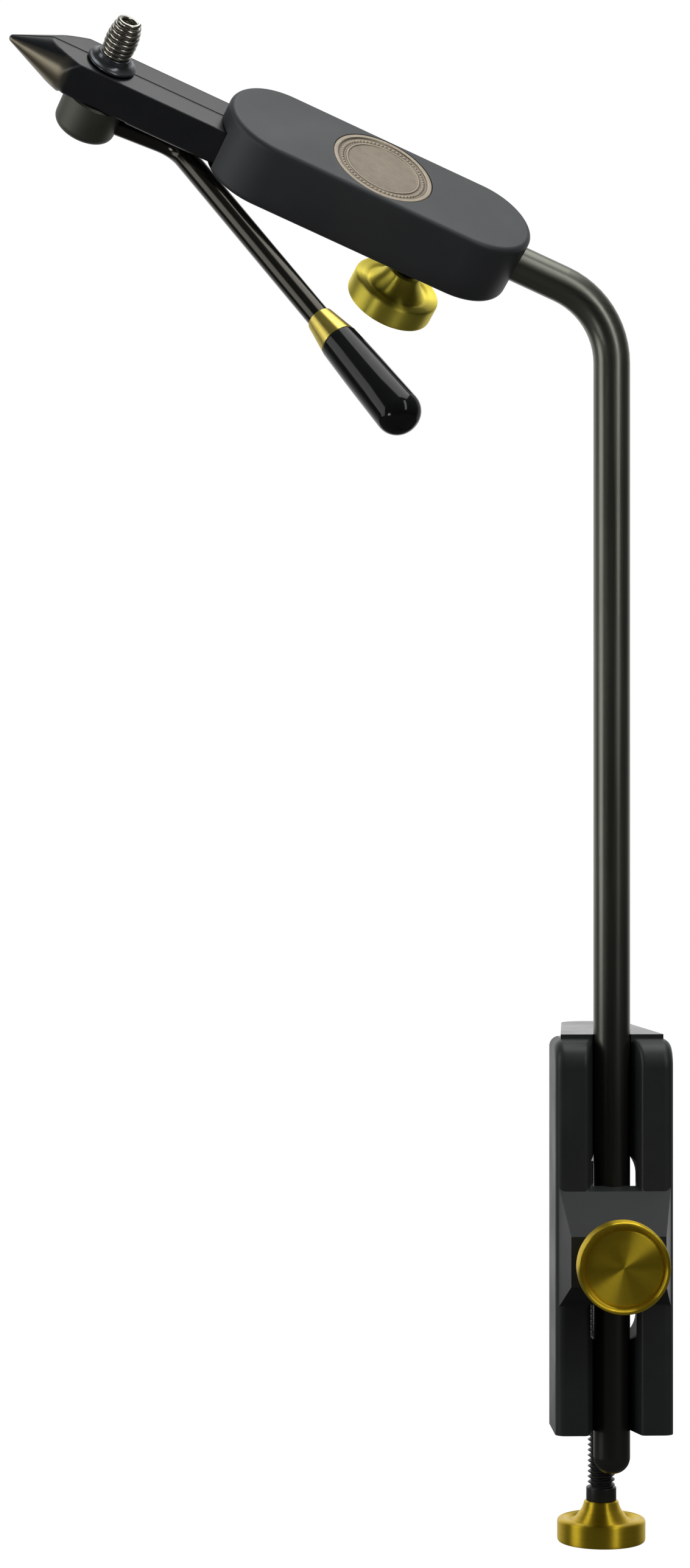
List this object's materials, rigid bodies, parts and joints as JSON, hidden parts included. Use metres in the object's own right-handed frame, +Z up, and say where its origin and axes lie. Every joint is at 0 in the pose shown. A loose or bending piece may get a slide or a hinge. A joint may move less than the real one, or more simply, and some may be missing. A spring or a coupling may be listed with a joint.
{
  "type": "fly tying vise",
  "caption": "Table-clamp fly tying vise: bent stem, spinning block head with a plain medallion, lever-opened jaws, material spring and brass thumb knobs.",
  "frame": {"origin": "on the clamp screw's axis, in the underside of the upper arm, where the table edge seats", "axes": "+Z up along the stem and clamp screw, +X to the right and +Y away from the tyer"},
  "size_m": [0.1701, 0.1083, 0.3949],
  "materials": {
    "black_anodised": "black anodised, matte",
    "gunmetal": "gun-metal blued rod, satin",
    "black_steel": "black oxide, satin",
    "brass": "turned and lacquered",
    "bronze": "antiqued",
    "spring_steel": "bright",
    "black_grip": "dipped, glossy"
  },
  "bodies": {
    "clamp": {"clamp_body": "black_anodised"},
    "stem": {"stem": "gunmetal"},
    "head": {"head_body": "black_anodised", "medallion": "bronze", "jaw_pivot_pins": "spring_steel", "jaw_spring": "spring_steel"},
    "near_jaw": {"near_jaw": "black_steel"},
    "far_jaw": {"far_jaw": "black_steel"},
    "lever": {"cam_shaft": "black_steel", "lever_hub": "black_steel", "hub_set_screw": "black_steel", "lever_rod": "gunmetal", "lever_ferrule": "brass", "lever_grip": "black_grip", "spring_collar": "black_steel", "material_spring": "spring_steel"},
    "head_lock": {"head_lock_screw": "black_steel", "head_lock_knob": "brass"},
    "stem_lock": {"stem_lock_screw": "black_steel", "stem_lock_knob": "brass"},
    "pad": {"swivel_pad": "black_steel", "pad_snap_ring": "spring_steel"},
    "screw": {"clamp_screw": "black_steel", "clamp_knob": "brass"}
  },
  "joints": [
    {"name": "stem_height", "type": "slide", "parent": "clamp", "child": "stem", "axis": [0, 0, 1], "range_m": [-0.1, 0.04]},
    {"name": "head_spin", "type": "hinge", "parent": "stem", "child": "head", "pos_m": [0, -0.024, 0.19785], "axis": [-0.9111, -0.1313, 0.3907], "continuous": true},
    {"name": "lever_squeeze", "type": "hinge", "parent": "head", "child": "lever", "pos_m": [-0.13029, -0.04277, 0.25372], "axis": [0.3842, -0.6141, 0.6894], "range_deg": [0, 18], "stiffness_Nm_per_rad": 0.5, "springref_deg": -8.59},
    {"name": "near_jaw_open", "type": "hinge", "parent": "head", "child": "near_jaw", "pos_m": [-0.09181, -0.04079, 0.23406], "axis": [0.3842, -0.6141, 0.6894], "range_deg": [0, 1.13]},
    {"name": "far_jaw_open", "type": "hinge", "parent": "head", "child": "far_jaw", "pos_m": [-0.09041, -0.03347, 0.23979], "axis": [0.3842, -0.6141, 0.6894], "range_deg": [-1.13, 0]},
    {"name": "head_lock_turn", "type": "hinge", "parent": "head", "child": "head_lock", "pos_m": [-0.04756, -0.03085, 0.21825], "axis": [0.3842, -0.6141, 0.6894], "continuous": true},
    {"name": "stem_lock_turn", "type": "hinge", "parent": "clamp", "child": "stem_lock", "pos_m": [0, -0.05, -0.048], "axis": [0, -1, 0], "continuous": true},
    {"name": "clamp_travel", "type": "slide", "parent": "clamp", "child": "pad", "axis": [0, 0, 1], "range_m": [-0.045, 0.019]},
    {"name": "clamp_screw_turn", "type": "hinge", "parent": "pad", "child": "screw", "pos_m": [0, 0, -0.1], "axis": [0, 0, 1], "range_deg": [-11490.4, 4852.1]}
  ],
  "couplings": [
    {"joint": "near_jaw_open", "follows": "lever_squeeze", "ratio": 0.062926},
    {"joint": "far_jaw_open", "follows": "lever_squeeze", "ratio": -0.062926},
    {"joint": "clamp_screw_turn", "follows": "clamp_travel", "rad_per_m": 4456.2}
  ]
}
